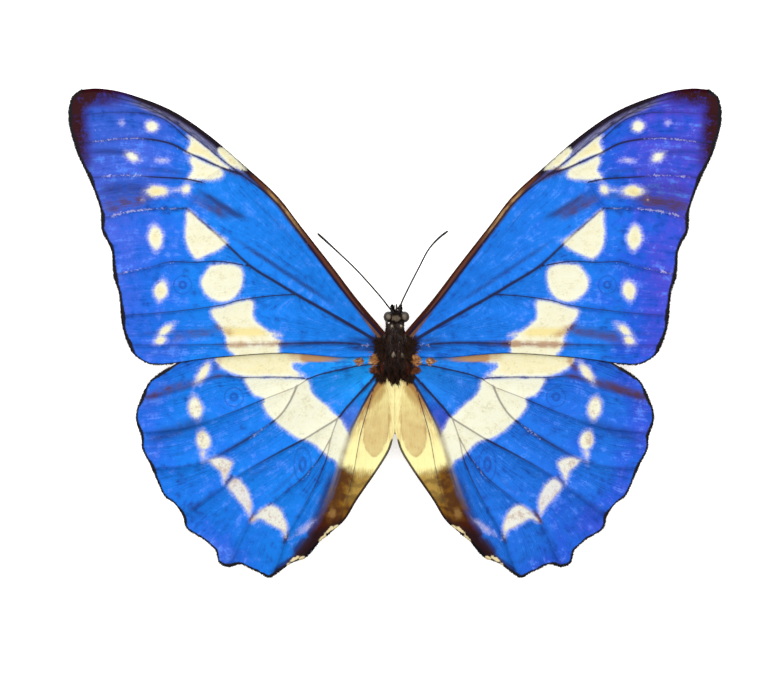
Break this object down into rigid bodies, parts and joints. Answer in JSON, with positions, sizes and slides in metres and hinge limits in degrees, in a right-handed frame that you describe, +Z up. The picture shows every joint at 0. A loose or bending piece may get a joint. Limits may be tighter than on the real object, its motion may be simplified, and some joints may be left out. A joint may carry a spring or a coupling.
{
  "type": "blue morpho butterfly",
  "caption": "Life-size still model of a white-banded blue morpho butterfly, standing on its legs with its wings spread flat.",
  "frame": {"origin": "on the floor under the middle of the spread wings' box", "axes": "+Z up, +Y towards the head, +X towards the animal's right wing tip"},
  "size_m": [0.1304, 0.0979, 0.0124],
  "materials": {
    "fur": "dense near-black brown hair",
    "eye": "finely faceted grey-brown, satin shine",
    "feeler": "dark ringed horn",
    "wing": "metallic blue scales with a cream band and spots; brown and ochre underneath",
    "leg": "brown horn with short hair"
  },
  "bodies": {
    "root": {"head": "fur", "thorax": "fur", "abdomen": "fur", "palp_left": "fur", "palp_right": "fur", "eye_left": "eye", "eye_right": "eye", "antenna_left": "feeler", "antenna_right": "feeler", "proboscis": "feeler", "forewing_left": "wing", "forewing_right": "wing", "hindwing_left": "wing", "hindwing_right": "wing", "foreleg_left": "leg", "foreleg_right": "leg", "midleg_left": "leg", "midleg_right": "leg", "hindleg_left": "leg", "hindleg_right": "leg"}
  },
  "joints": []
}
